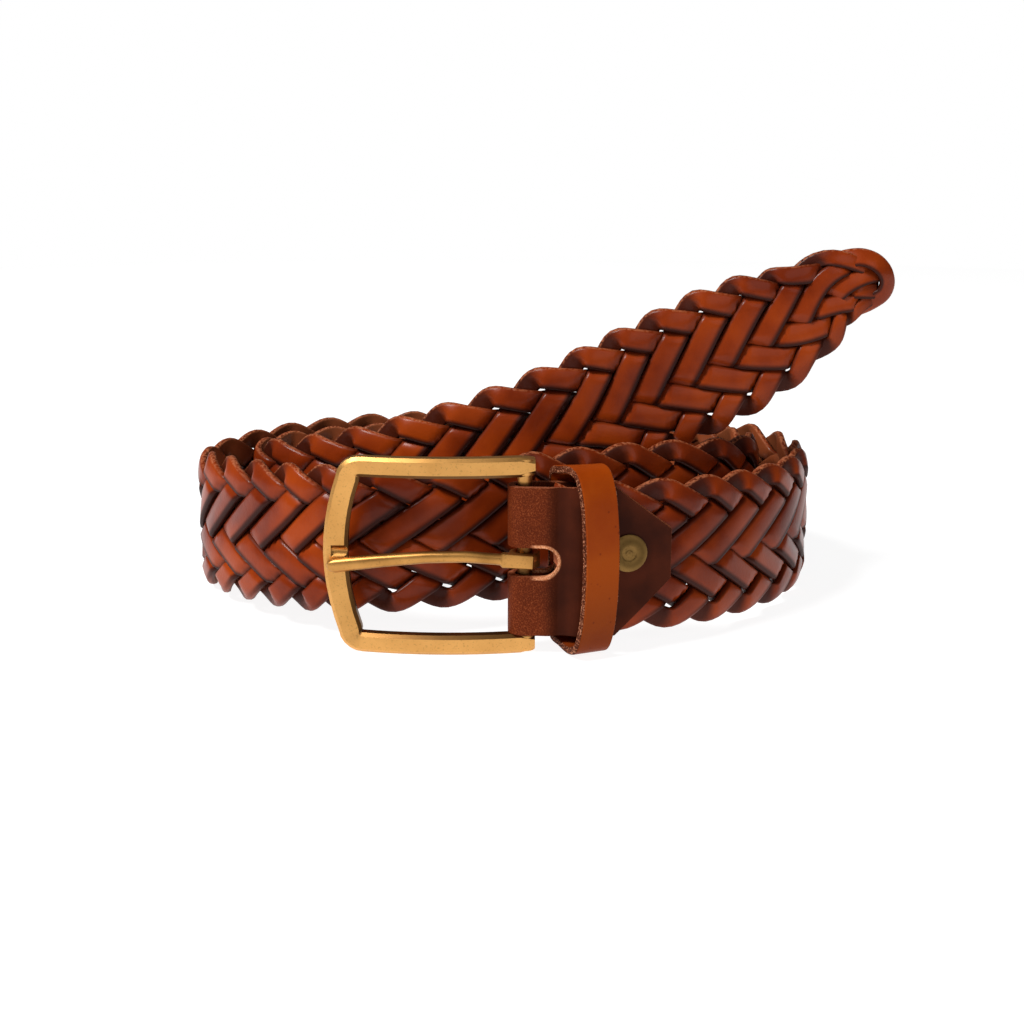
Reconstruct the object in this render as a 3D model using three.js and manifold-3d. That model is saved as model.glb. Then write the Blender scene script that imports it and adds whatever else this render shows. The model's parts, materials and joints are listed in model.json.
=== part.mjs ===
// A braided leather belt, rolled up and stood on its edge.
// Units are millimetres. +Z is up, +Y is away from the buckle side, and the ground is z = 0.
// The strap starts at the buckle in front, runs once around the outside of the roll,
// passes behind the buckle, runs around again inside the first turn, and leaves as a
// free end that rises across the roll to the pointed tip.

import * as THREE from 'three';
import { mergeVertices } from 'three/addons/utils/BufferGeometryUtils.js';
import Module from 'manifold-3d';

const wasm = await Module();
wasm.setup();

// The braided strap
const strapWidth = 36;
const strapThickness = 4.2;
const edgePitch = 12.97; // from one strand's turn at the edge to the next
const tightPitch = 11.2; // the same near the tip, where the plait was pulled tighter
const tightLength = 80; // from the tip back to where the tighter plait starts
const firstTurn = 6; // from the bar to the first turn at the upper edge
const scallopDepth = 1.1; // how far the edge dips between two turns
const lowerEdgeShift = 0.25; // the lower edge's turns lag the upper ones, in pitches
const stationsPerPitch = 4;

// The roll, measured between the middle lines of the outer turn
const rollWidth = 155.2;
const rollDepth = 114.7;
const layerGap = 1.2; // least room between two turns that lie together

// The tip
const tipTaper = 44;

// The folded leather that holds the buckle
const foldWidth = 34.8;
const foldLeather = 1.7;
const foldReach = 33.6; // from the bar to the cut end
const foldPointLength = 13;
const foldEndWidth = 11.7;
const foldPointRise = 1.2; // the point was cut this much above the middle
const foldSlack = 0.5; // between the fold and the bar
const slotWidth = 6.8;
const slotReach = 7.5; // from the bar to the slot's round end
const strandStart = 6.3; // from the bar to the ends of the strands

// The keeper loop
const keeperWidth = 9;
const keeperLeather = 1.9;
const keeperHeight = 46.1;
const keeperFoot = 0.3; // from the ground to the loop
const keeperSlack = 1.4; // between the fold's edges and the loop's back
const keeperPlace = 17.2; // from the bar to the front of the loop
const keeperSkew = 7.2; // the back of the loop lies this much nearer to the buckle
const keeperTurn = 28; // degrees that the front has twisted away from the buckle

// The rivet
const rivetPlace = 22.8;
const rivetRise = 2.1; // above the middle of the fold
const rivetRadius = 4.4;
const rivetHeight = 0.7;
const postRadius = 1.6;
const backCapRadius = 3.6;
const backCapHeight = 0.7;

// The buckle
const buckleHeight = 46.1;
const buckleReach = 46.3; // from the bar to the outside of the far side
const armHeight = 4.6;
const armDepth = 4;
const sideWidth = 5.7;
const sideBow = 3.2; // how far the far side bulges between its corners
const cornerRadius = 2.8;
const frameBow = 3.3; // how far the arms stand out in the middle
const frameStand = 0.5; // from the bar's axis out to the arms' middle line
const frameSwing = 3.3; // how far the far side has swung in towards the roll
const barRadius = 1.7;
const lugRadius = 2.4;
const notchWidth = 3;
const notchDepth = 0.8;
const notchReach = 3.8; // from the window out across the far side
const notchHigh = 0.8; // above the middle of the frame

// The prong
const prongLoop = 1.5; // wall of the loop around the bar
const prongWidth = 3.3;
const prongReach = 45.2; // from the bar's axis to the tip

const fit = 0.3; // clearance between pieces that touch
const halfTurn = Math.PI;

// The strap's path. Each row is one place along it. across and deep are shares of the
// roll's half width and half depth, inside counts the layers that lie between it and
// the outline, and rise is how high its middle is raised, as a share of the strap's width.
const path = [
  { across: 0.058, deep: -1, inside: 0, rise: 0.113 }, // the buckle's bar
  { across: 0.291, deep: -1, inside: 0, rise: 0.125 },
  { across: 0.517, deep: -0.901, inside: 0, rise: 0.106 },
  { across: 0.742, deep: -0.616, inside: 0, rise: 0.061 },
  { across: 0.925, deep: -0.233, inside: 0, rise: 0.022 },
  { across: 0.997, deep: 0.203, inside: 0, rise: 0 },
  { across: 0.875, deep: 0.622, inside: 0, rise: 0 },
  { across: 0.536, deep: 0.901, inside: 0, rise: 0 },
  { across: 0.021, deep: 1, inside: 0, rise: 0 },
  { across: -0.495, deep: 0.883, inside: 0, rise: 0 },
  { across: -0.836, deep: 0.552, inside: 0, rise: 0 },
  { across: -1, deep: 0.011, inside: 0, rise: 0.006 },
  { across: -0.862, deep: -0.416, inside: 0, rise: 0.078 },
  { across: -0.629, deep: -0.873, inside: 1, rise: 0.156 }, // behind the buckle
  { across: -0.338, deep: -0.94, inside: 1, rise: 0.181 },
  { across: 0.022, deep: -0.734, inside: 1, rise: 0.181 },
  { across: 0.41, deep: -0.465, inside: 1, rise: 0.178 },
  { across: 0.742, deep: -0.161, inside: 1, rise: 0.122 },
  { across: 0.906, deep: 0.224, inside: 1, rise: 0.044 },
  { across: 0.825, deep: 0.59, inside: 1, rise: 0.008 },
  { across: 0.521, deep: 0.754, inside: 1, rise: 0 },
  { across: 0.022, deep: 0.782, inside: 1, rise: 0 },
  { across: -0.504, deep: 0.686, inside: 1, rise: 0 },
  { across: -0.823, deep: 0.455, inside: 1, rise: 0 },
  { across: -0.892, deep: 0.167, inside: 1, rise: 0.017 },
  { across: -0.67, deep: -0.055, inside: 1, rise: 0.117 }, // the free end
  { across: -0.31, deep: -0.218, inside: 1, rise: 0.311 },
  { across: 0.091, deep: -0.247, inside: 1, rise: 0.589 },
  { across: 0.548, deep: -0.19, inside: 1, rise: 1.017 },
  { across: 0.978, deep: -0.141, inside: 1, rise: 1.444 },
  { across: 1.158, deep: -0.122, inside: 1, rise: 1.672 },
  { across: 1.346, deep: -0.103, inside: 1, rise: 1.711 }, // the tip
];

// The strap's section. side is a share of its half thickness, up of its half width.
const strapSection = [
  { side: 0, up: 1 },
  { side: 0.62, up: 0.965 },
  { side: 1, up: 0.86 },
  { side: 1, up: -0.86 },
  { side: 0.62, up: -0.965 },
  { side: 0, up: -1 },
  { side: -0.62, up: -0.965 },
  { side: -1, up: -0.86 },
  { side: -1, up: 0.86 },
  { side: -0.62, up: 0.965 },
];

// The tip's width, from where it starts to narrow to its very end
const tipShape = [
  { along: 0, width: 1 },
  { along: 0.3, width: 0.9 },
  { along: 0.46, width: 0.79 },
  { along: 0.66, width: 0.65 },
  { along: 0.85, width: 0.49 },
  { along: 0.95, width: 0.32 },
  { along: 1, width: 0.06 },
];

// The keeper's loop in one half, from the middle of its back over the top to the middle
// of its front. shift says how far a row has left the back, which hugs the fold, for the
// front, which stands proud. out is a share of the depth and up of the half height there.
const keeperShape = [
  { shift: 0, out: -1, up: 0, turn: 0 },
  { shift: 0, out: -1, up: 0.8, turn: 0 },
  { shift: 0.05, out: -0.86, up: 0.985, turn: 0.1 },
  { shift: 0.28, out: -0.3, up: 1, turn: 0.35 },
  { shift: 0.55, out: 0.38, up: 1, turn: 0.75 },
  { shift: 0.72, out: 0.8, up: 0.93, turn: 0.95 },
  { shift: 0.86, out: 0.96, up: 0.74, turn: 1 },
  { shift: 0.96, out: 1, up: 0.42, turn: 1 },
  { shift: 1, out: 1, up: 0, turn: 1 },
];

// The prong, from the loop to the tip. along is a share of its reach, out is how far it
// stands in front of its seat, up how high it lies, both as shares of its width.
const prongShape = [
  { along: -0.04, out: 0, up: 0, wide: 1, deep: 0.66 },
  { along: 0.11, out: 0.02, up: 0.14, wide: 1, deep: 0.66 },
  { along: 0.125, out: 0.03, up: 0.18, wide: 0.74, deep: 0.7 },
  { along: 0.3, out: 0.25, up: 0.42, wide: 0.74, deep: 0.7 },
  { along: 0.5, out: 0.36, up: 0.38, wide: 0.78, deep: 0.72 },
  { along: 0.75, out: 0.26, up: 0.04, wide: 0.88, deep: 0.76 },
  { along: 0.96, out: 0.05, up: -0.34, wide: 0.96, deep: 0.78 },
  { along: 0.99, out: 0.02, up: -0.38, wide: 0.7, deep: 0.56 },
  { along: 1, out: 0, up: -0.4, wide: 0.35, deep: 0.28 },
];

// Materials
const leather = (color, roughness) => new THREE.MeshStandardMaterial({ color, roughness, metalness: 0 });
const metal = (color, roughness) => new THREE.MeshStandardMaterial({ color, roughness, metalness: 1 });
const strapLeather = leather(0x7c2f1a, 0.45);
const foldedLeather = leather(0x5a2516, 0.5);
const keeperTan = leather(0xa84a14, 0.4);
const satinBrass = metal(0xc9974e, 0.38);
const agedBrass = metal(0x84683a, 0.5);

// Small helpers
const smooth = (from, to, value) => THREE.MathUtils.smoothstep(value, from, to);

function columnAt(rows, key, column, value) {
  const last = rows.length - 1;
  const next = rows.findIndex((row) => row[key] >= value);
  if (next === 0 || value >= rows[last][key]) {
    return value >= rows[last][key] ? rows[last][column] : rows[0][column];
  }
  const [a, b] = [rows[next - 1], rows[next]];
  const share = (value - a[key]) / (b[key] - a[key]);
  return THREE.MathUtils.lerp(a[column], b[column], share);
}

// Joins rings of points, all with the same count, into one skin. An open run of rings
// gets a flat cap at both ends, and a closed one meets itself.
function loft(rings, closed = false) {
  const count = rings[0].length;
  const positions = rings.flat().flatMap((point) => point.toArray());
  const faces = [];
  const spans = closed ? rings.length : rings.length - 1;
  for (let ring = 0; ring < spans; ring++) {
    const here = ring * count;
    const there = ((ring + 1) % rings.length) * count;
    for (let side = 0; side < count; side++) {
      const next = (side + 1) % count;
      faces.push(here + side, here + next, there + next, here + side, there + next, there + side);
    }
  }
  if (!closed) {
    for (const end of [0, rings.length - 1]) {
      const centre = new THREE.Vector3();
      rings[end].forEach((point) => centre.addScaledVector(point, 1 / count));
      const hub = positions.length / 3;
      positions.push(...centre.toArray());
      for (let side = 0; side < count; side++) {
        const a = end * count + side;
        const b = end * count + ((side + 1) % count);
        faces.push(hub, ...(end === 0 ? [b, a] : [a, b]));
      }
    }
  }
  const geometry = new THREE.BufferGeometry();
  geometry.setAttribute('position', new THREE.Float32BufferAttribute(positions, 3));
  geometry.setIndex(volumeWithin(positions, faces) < 0 ? faces.reverse() : faces);
  return geometry;
}

// Six times the volume inside a skin, below zero where its faces point inwards
function volumeWithin(positions, faces) {
  const corner = (index) => new THREE.Vector3().fromArray(positions, 3 * index);
  let volume = 0;
  for (let face = 0; face < faces.length; face += 3) {
    const [a, b, c] = [0, 1, 2].map((step) => corner(faces[face + step]));
    volume += a.dot(b.cross(c));
  }
  return volume;
}

// Turns a geometry into a solid for cutting and joining, and back again
function solidOf(geometry) {
  const bare = geometry.clone();
  bare.deleteAttribute('normal');
  bare.deleteAttribute('uv');
  const merged = mergeVertices(bare, 1e-4);
  return new wasm.Manifold(new wasm.Mesh({
    numProp: 3,
    vertProperties: new Float32Array(merged.attributes.position.array),
    triVerts: new Uint32Array(merged.index.array),
  }));
}

function geometryOf(solid) {
  const mesh = solid.getMesh();
  const geometry = new THREE.BufferGeometry();
  geometry.setAttribute('position', new THREE.BufferAttribute(mesh.vertProperties, 3));
  geometry.setIndex(new THREE.BufferAttribute(mesh.triVerts, 1));
  geometry.computeVertexNormals();
  return geometry;
}

// A rounded rectangle as a ring of eight points, around a centre and along two directions
function rounded(centre, wide, deep, halfWidth, halfDepth, bevel) {
  const w = halfWidth;
  const d = halfDepth;
  const corners = [
    [w - bevel, d], [-w + bevel, d], [-w, d - bevel], [-w, -d + bevel],
    [-w + bevel, -d], [w - bevel, -d], [w, -d + bevel], [w, d - bevel],
  ];
  return corners.map(([a, b]) => centre.clone().addScaledVector(wide, a).addScaledVector(deep, b));
}

// A prism with a flat outline, drawn across and up, that runs through along Y
function throughY(outline, depth) {
  const geometry = new THREE.ExtrudeGeometry(outline, { depth, bevelEnabled: false, curveSegments: 10 });
  return geometry.translate(0, 0, -depth / 2).rotateX(halfTurn / 2);
}

// The route: the middle line of the strap
const layerPitch = strapThickness + layerGap;
const routePoints = path.map(({ across, deep, inside, rise }) => new THREE.Vector3(
  across * (rollWidth / 2 - inside * layerPitch),
  deep * (rollDepth / 2 - inside * layerPitch),
  (0.5 + rise) * strapWidth,
));
const route = new THREE.CatmullRomCurve3(routePoints, false, 'centripetal');
route.arcLengthDivisions = 2000;
const routeLength = route.getLength();

// The place on the route at a distance from the bar: its point, the way on, the way out
// through the strap's outer face, and the way up across the strap's width
function placeAt(distance) {
  const share = THREE.MathUtils.clamp(distance / routeLength, 0, 1);
  const point = route.getPointAt(share);
  point.z = Math.max(point.z, strapWidth / 2);
  const onward = route.getTangentAt(share);
  const outward = new THREE.Vector3(onward.y, -onward.x, 0).normalize();
  const upward = outward.clone().cross(onward);
  return { point, onward, outward, upward };
}

const bar = placeAt(0);
const middleHeight = bar.point.z;

// The strap as one solid: scalloped edges where the strands turn, and the narrowed tip
function scallop(distance, lag) {
  const tight = Math.max(distance - (routeLength - tightLength), 0);
  const phase = (distance - tight - firstTurn) / edgePitch + tight / tightPitch - lag;
  return scallopDepth * (1 - Math.abs(Math.cos(halfTurn * phase)));
}

function strapRing(distance) {
  const { point, outward, upward } = placeAt(distance);
  const along = 1 - (routeLength - distance) / tipTaper;
  const share = columnAt(tipShape, 'along', 'width', along);
  return strapSection.map(({ side, up }) => {
    const dip = scallop(distance, up > 0 ? 0 : lowerEdgeShift) * share;
    return point.clone()
      .addScaledVector(outward, side * strapThickness / 2)
      .addScaledVector(upward, up * (share * strapWidth / 2 - dip));
  });
}

function strapGeometry() {
  const step = edgePitch / stationsPerPitch;
  const count = Math.round((routeLength - strandStart) / step);
  const rings = [];
  for (let station = 0; station < count; station++) {
    rings.push(strapRing(strandStart + station * step));
  }
  rings.push(strapRing(routeLength));
  return geometryOf(solidOf(loft(rings)).subtract(postHole()));
}

// The fold around the bar. The leather lies on both faces of the strap.
function foldInner(distance) {
  const overStrap = strapThickness / 2 + fit;
  return THREE.MathUtils.lerp(barRadius + foldSlack, overStrap, smooth(0, strandStart, distance));
}

function foldSurface(extra) {
  const steps = 14;
  const front = [];
  const back = [];
  for (let step = 0; step <= steps; step++) {
    const distance = foldReach * 1.05 * (step / steps);
    const { point, outward } = placeAt(distance);
    const offset = foldInner(distance) + extra;
    front.unshift(point.clone().addScaledVector(outward, offset));
    back.push(point.clone().addScaledVector(outward, -offset));
  }
  const turn = [];
  for (let step = 1; step < steps; step++) {
    const angle = halfTurn * (step / steps);
    turn.push(bar.point.clone()
      .addScaledVector(bar.outward, Math.cos(angle) * (foldInner(0) + extra))
      .addScaledVector(bar.onward, -Math.sin(angle) * (foldInner(0) + extra)));
  }
  return [...front, ...turn, ...back].map((point) => new THREE.Vector2(point.x, point.y));
}

function foldGeometry() {
  const sheet = new THREE.Shape([...foldSurface(foldLeather), ...foldSurface(0).reverse()]);
  const folded = new THREE.ExtrudeGeometry(sheet, { depth: foldWidth, bevelEnabled: false });
  folded.translate(0, 0, middleHeight - foldWidth / 2);

  const start = bar.point.x;
  const left = start - 3 * (barRadius + foldLeather);
  const outline = new THREE.Shape();
  outline.moveTo(left, -foldWidth);
  outline.lineTo(start + foldReach - foldPointLength - foldWidth / 4, -foldWidth);
  outline.lineTo(start + foldReach - foldPointLength, -foldWidth / 2);
  outline.lineTo(start + foldReach, foldPointRise - foldEndWidth / 2);
  outline.lineTo(start + foldReach, foldPointRise + foldEndWidth / 2);
  outline.lineTo(start + foldReach - foldPointLength, foldWidth / 2);
  outline.lineTo(start + foldReach - foldPointLength - foldWidth / 4, foldWidth);
  outline.lineTo(left, foldWidth);

  const slot = new THREE.Shape();
  slot.moveTo(left, -slotWidth / 2);
  slot.lineTo(start + slotReach - slotWidth / 2, -slotWidth / 2);
  slot.absarc(start + slotReach - slotWidth / 2, 0, slotWidth / 2, -halfTurn / 2, halfTurn / 2);
  slot.lineTo(left, slotWidth / 2);

  const through = 6 * (strapThickness + foldLeather);
  const place = (geometry) => geometry.translate(0, bar.point.y, middleHeight);
  const solid = solidOf(folded)
    .intersect(solidOf(place(throughY(outline, through))))
    .subtract(solidOf(place(throughY(slot, through))))
    .subtract(postHole());
  return geometryOf(solid);
}

// The rivet: a ringed cap in front, a post through leather and strands, a cap behind
const rivetSeat = placeAt(rivetPlace);
const rivetHold = foldInner(rivetPlace) + foldLeather + fit / 2;

function alongRivet(geometry) {
  const turn = new THREE.Quaternion().setFromUnitVectors(new THREE.Vector3(0, 1, 0), rivetSeat.outward);
  const height = middleHeight + rivetRise;
  return geometry.applyQuaternion(turn).translate(rivetSeat.point.x, rivetSeat.point.y, height);
}

function postHole() {
  const length = 4 * rivetHold;
  return solidOf(alongRivet(new THREE.CylinderGeometry(postRadius + fit, postRadius + fit, length, 16)));
}

function rivetGeometry() {
  const front = rivetHold;
  const profile = [
    [0, -front - backCapHeight],
    [backCapRadius * 0.8, -front - backCapHeight],
    [backCapRadius, -front - backCapHeight * 0.3],
    [backCapRadius, -front],
    [postRadius, -front],
    [postRadius, front],
    [rivetRadius, front],
    [rivetRadius, front + rivetHeight * 0.35],
    [rivetRadius * 0.85, front + rivetHeight * 0.8],
    [rivetRadius * 0.5, front + rivetHeight],
    [0, front + rivetHeight],
  ].map(([radius, out]) => new THREE.Vector2(radius, out));
  return alongRivet(mergeVertices(new THREE.LatheGeometry(profile, 28)));
}

// The keeper: a band of leather bent into a loop around fold and strap
function keeperGeometry() {
  const hold = foldInner(foldReach) + foldLeather;
  const bandHalf = keeperLeather / 2;
  const frontLean = (keeperWidth / 2) * Math.sin(THREE.MathUtils.degToRad(keeperTurn));
  const back = hold + fit + bandHalf;
  const front = hold + rivetHeight + fit + bandHalf + frontLean;
  const backHalf = foldWidth / 2 + keeperSlack + bandHalf;
  const frontHalf = keeperHeight / 2 - bandHalf;
  const upper = keeperShape.map((row) => ({ ...row }));
  const lower = keeperShape.slice(1, -1).reverse().map((row) => ({ ...row, up: -row.up }));
  const rows = [...upper, ...lower];

  const centres = rows.map(({ shift, out, up }) => {
    const depth = THREE.MathUtils.lerp(-back, front, (out + 1) / 2);
    const x = bar.point.x + keeperPlace - keeperSkew * (1 - shift);
    const middle = THREE.MathUtils.lerp(middleHeight, keeperFoot + keeperHeight / 2, shift);
    const half = THREE.MathUtils.lerp(backHalf, frontHalf, shift);
    return new THREE.Vector3(x, bar.point.y - depth, middle + up * half);
  });
  const twist = new THREE.CatmullRomCurve3(
    rows.map(({ turn }, index) => new THREE.Vector3(index, turn, 0)), true, 'centripetal',
  );
  const loop = new THREE.CatmullRomCurve3(centres, true, 'centripetal');
  const steps = 72;
  const rings = [];
  for (let step = 0; step < steps; step++) {
    const share = step / steps;
    const angle = THREE.MathUtils.degToRad(keeperTurn * twist.getPoint(share).y);
    const across = new THREE.Vector3(Math.cos(angle), Math.sin(angle), 0);
    const outward = loop.getTangent(share).cross(across).normalize();
    rings.push(rounded(loop.getPoint(share), across, outward, keeperWidth / 2, bandHalf, 0.35));
  }
  return loft(rings, true);
}

// The buckle's frame: two arms, a bowed far side, two lugs and the bar between them
function frameOutline() {
  const armMiddle = buckleHeight / 2 - armHeight / 2;
  const farX = -(buckleReach - sideBow - sideWidth / 2);
  const cornerX = farX + cornerRadius;
  const points = [];
  const armSteps = 12;
  for (let step = 0; step < armSteps; step++) {
    points.push([THREE.MathUtils.lerp(lugRadius, cornerX, step / armSteps), armMiddle]);
  }
  const cornerSteps = 5;
  for (let step = 0; step < cornerSteps; step++) {
    const angle = (halfTurn / 2) * (1 + step / cornerSteps);
    points.push([
      cornerX + cornerRadius * Math.cos(angle),
      armMiddle - cornerRadius + cornerRadius * Math.sin(angle),
    ]);
  }
  const sideSteps = 5;
  const sideHalf = armMiddle - cornerRadius;
  for (let step = 0; step <= sideSteps; step++) {
    const up = 1 - step / sideSteps;
    points.push([farX - sideBow * (1 - up ** 2), up * sideHalf]);
  }
  const mirrored = points.slice(0, -1).reverse().map(([x, up]) => [x, -up]);
  return [...points, ...mirrored];
}

// How far the frame's middle line stands in front of the bar's axis
function standAt(x) {
  const share = THREE.MathUtils.clamp(-x / buckleReach, 0, 1);
  return frameStand - frameSwing * share + frameBow * (4 * share * (1 - share));
}

function frameGeometry() {
  const outline = frameOutline();
  const inward = new THREE.Vector3(0, 1, 0);
  const rings = outline.map(([x, up], index) => {
    const [ax, au] = outline[Math.max(index - 1, 0)];
    const [bx, bu] = outline[Math.min(index + 1, outline.length - 1)];
    const onward = new THREE.Vector3(bx - ax, 0, bu - au).normalize();
    const wide = onward.clone().cross(inward);
    const sideShare = 1 - Math.abs(onward.x);
    const half = THREE.MathUtils.lerp(armHeight, sideWidth, sideShare) / 2;
    const centre = new THREE.Vector3(x, -standAt(x), up);
    const round = index === 0 || index === outline.length - 1 ? 0.7 : 1;
    return rounded(centre, wide, inward, half * round, (armDepth / 2) * round, 0.8);
  });
  let solid = solidOf(loft(rings));

  const armMiddle = buckleHeight / 2 - armHeight / 2;
  const upright = (radius, length, height) => {
    const shaft = new THREE.CylinderGeometry(radius, radius, length, 20);
    return solidOf(shaft.rotateX(halfTurn / 2).translate(0, 0, height));
  };
  for (const side of [-1, 1]) {
    solid = solid.add(upright(lugRadius, armHeight * 0.8, side * armMiddle));
  }
  solid = solid.add(upright(barRadius, 2 * armMiddle, 0));

  const sideX = -(buckleReach - sideWidth / 2);
  const notchAxis = -standAt(sideX) - armDepth / 2 - notchWidth / 2 + notchDepth;
  const notchLength = 2 * notchReach;
  const notch = new THREE.CylinderGeometry(notchWidth / 2, notchWidth / 2, notchLength, 14);
  notch.rotateZ(halfTurn / 2).translate(sideX + sideWidth / 2, notchAxis, notchHigh);
  solid = solid.subtract(solidOf(notch));
  return geometryOf(solid.translate([bar.point.x, bar.point.y, buckleHeight / 2]));
}

// The prong: a loop around the bar, a flat base and a round shaft that lies on the far side
function prongGeometry() {
  const inner = barRadius + fit;
  const outer = inner + prongLoop;
  const ring = new THREE.Shape().absarc(0, 0, outer, 0, 2 * halfTurn);
  ring.holes.push(new THREE.Path().absarc(0, 0, inner, 0, 2 * halfTurn, true));
  const loop = new THREE.ExtrudeGeometry(ring, { depth: prongWidth, bevelEnabled: false, curveSegments: 14 });
  loop.translate(0, 0, -prongWidth / 2);

  const tipHalf = prongWidth * 0.39;
  const tipSeat = standAt(-(buckleReach - sideWidth / 2)) + armDepth / 2 + fit + tipHalf;
  const baseSeat = outer - prongLoop / 4;
  const centres = prongShape.map(({ along, out, up }) => {
    const seat = THREE.MathUtils.lerp(baseSeat, tipSeat, smooth(0.1, 1, along));
    return new THREE.Vector3(-along * prongReach, -seat - out * prongWidth, up * prongWidth);
  });
  const up = new THREE.Vector3(0, 0, 1);
  const rings = prongShape.map(({ wide, deep }, index) => {
    const before = centres[Math.max(index - 1, 0)];
    const after = centres[Math.min(index + 1, centres.length - 1)];
    const onward = after.clone().sub(before).normalize();
    const outward = up.clone().cross(onward).normalize();
    const across = onward.clone().cross(outward);
    const bevel = prongWidth * deep * 0.5 * (index < 2 ? 0.3 : 0.55);
    return rounded(centres[index], across, outward, prongWidth * wide / 2, prongWidth * deep / 2, bevel);
  });
  const solid = solidOf(loft(rings.reverse())).add(solidOf(loop));
  return geometryOf(solid.translate([bar.point.x, bar.point.y, middleHeight]));
}

// The assembly, moved so that its origin is under the middle of its box
const belt = new THREE.Group();
function addPiece(name, geometry, material) {
  const piece = new THREE.Mesh(geometry, material);
  piece.name = name;
  belt.add(piece);
}
addPiece('braided_strap', strapGeometry(), strapLeather);
addPiece('buckle_fold', foldGeometry(), foldedLeather);
addPiece('keeper_loop', keeperGeometry(), keeperTan);
addPiece('rivet', rivetGeometry(), agedBrass);
addPiece('buckle_frame', frameGeometry(), satinBrass);
addPiece('buckle_prong', prongGeometry(), satinBrass);

const box = new THREE.Box3().setFromObject(belt);
const middle = box.getCenter(new THREE.Vector3());
belt.position.set(-middle.x, -middle.y, -box.min.z);

export default belt;
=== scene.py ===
# %% [markdown]
# A braided leather belt, rolled up and stood on its edge.
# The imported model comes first, as a fixed frame. Each piece below is made in metres in
# that same frame, so nothing has to be fitted by hand.

# %% Load the frame
import json
import math

import bmesh
import bpy
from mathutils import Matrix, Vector


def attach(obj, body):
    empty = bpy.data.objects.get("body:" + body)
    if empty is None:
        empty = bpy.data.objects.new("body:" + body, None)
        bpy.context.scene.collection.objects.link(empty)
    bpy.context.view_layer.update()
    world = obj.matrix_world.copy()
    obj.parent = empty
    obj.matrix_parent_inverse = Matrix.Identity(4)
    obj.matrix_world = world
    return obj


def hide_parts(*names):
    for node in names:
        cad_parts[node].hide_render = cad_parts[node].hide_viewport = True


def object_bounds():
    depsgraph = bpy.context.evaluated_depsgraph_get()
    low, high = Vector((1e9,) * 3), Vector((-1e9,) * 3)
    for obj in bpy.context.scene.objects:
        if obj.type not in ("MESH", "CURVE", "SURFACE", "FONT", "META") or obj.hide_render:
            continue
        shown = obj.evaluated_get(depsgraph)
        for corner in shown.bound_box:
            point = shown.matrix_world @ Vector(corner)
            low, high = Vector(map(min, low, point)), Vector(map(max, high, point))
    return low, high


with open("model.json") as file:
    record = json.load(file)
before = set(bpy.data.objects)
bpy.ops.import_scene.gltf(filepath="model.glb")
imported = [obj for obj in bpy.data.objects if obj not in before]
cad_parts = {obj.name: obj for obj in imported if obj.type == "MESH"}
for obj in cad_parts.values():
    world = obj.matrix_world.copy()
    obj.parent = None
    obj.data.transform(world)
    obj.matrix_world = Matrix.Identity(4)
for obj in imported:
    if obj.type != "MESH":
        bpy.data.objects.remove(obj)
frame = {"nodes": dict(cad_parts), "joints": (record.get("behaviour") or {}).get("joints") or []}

cad_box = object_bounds()
nodes = frame["nodes"]
hinge = Vector(frame["joints"][0]["pos_m"])
MM = 0.001
print("nodes:", sorted(nodes), "hinge:", tuple(round(v, 5) for v in hinge))

# %% [markdown]
# The camera stands where the photographer stood: a little above the belt, close in, and
# looking down by about fourteen degrees. It is made before the pieces, so that every
# later step can be judged through it.

# %% Camera
LOOKING_DOWN = 13.76


def added(name, data):
    """A new object with this data, linked to the scene."""
    thing = bpy.data.objects.new(name, data)
    bpy.context.scene.collection.objects.link(thing)
    return thing


camera_data = bpy.data.cameras.new("camera")
camera_data.lens = 60.457
camera_data.sensor_width = 36
camera_data.clip_start = 0.02
camera = added("camera", camera_data)
camera.location = (-0.00726, -0.43353, 0.1262)
camera.rotation_euler = (math.radians(90 - LOOKING_DOWN), 0, 0)
bpy.context.scene.camera = camera
print("camera at", tuple(camera.location))

# %% [markdown]
# The route is the middle line of the strap, from the buckle's bar, twice round the roll
# and up to the tip. A few places are given, and a smooth curve runs through them.
# Blender's own curves would pass through the same places a little differently, so the
# curve of the CAD model is worked out here, by the same formula.

# %% The strap's measures and its path
STRAP_WIDTH = 36 * MM
STRAP_THICKNESS = 4.2 * MM
ROLL_WIDTH = 155.2 * MM
ROLL_DEPTH = 114.7 * MM
LAYER_GAP = 1.2 * MM
LAYER_PITCH = STRAP_THICKNESS + LAYER_GAP

# across, deep: shares of the roll's half width and depth; inside: layers between the
# place and the outline; rise: how high the middle is raised, in strap widths.
PATH = [
    (0.058, -1, 0, 0.113), (0.291, -1, 0, 0.125), (0.517, -0.901, 0, 0.106),
    (0.742, -0.616, 0, 0.061), (0.925, -0.233, 0, 0.022), (0.997, 0.203, 0, 0),
    (0.875, 0.622, 0, 0), (0.536, 0.901, 0, 0), (0.021, 1, 0, 0), (-0.495, 0.883, 0, 0),
    (-0.836, 0.552, 0, 0), (-1, 0.011, 0, 0.006), (-0.862, -0.416, 0, 0.078),
    (-0.629, -0.873, 1, 0.156), (-0.338, -0.94, 1, 0.181), (0.022, -0.734, 1, 0.181),
    (0.41, -0.465, 1, 0.178), (0.742, -0.161, 1, 0.122), (0.906, 0.224, 1, 0.044),
    (0.825, 0.59, 1, 0.008), (0.521, 0.754, 1, 0), (0.022, 0.782, 1, 0),
    (-0.504, 0.686, 1, 0), (-0.823, 0.455, 1, 0), (-0.892, 0.167, 1, 0.017),
    (-0.67, -0.055, 1, 0.117), (-0.31, -0.218, 1, 0.311), (0.091, -0.247, 1, 0.589),
    (0.548, -0.19, 1, 1.017), (0.978, -0.141, 1, 1.444), (1.158, -0.122, 1, 1.672),
    (1.346, -0.103, 1, 1.711),
]


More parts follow.
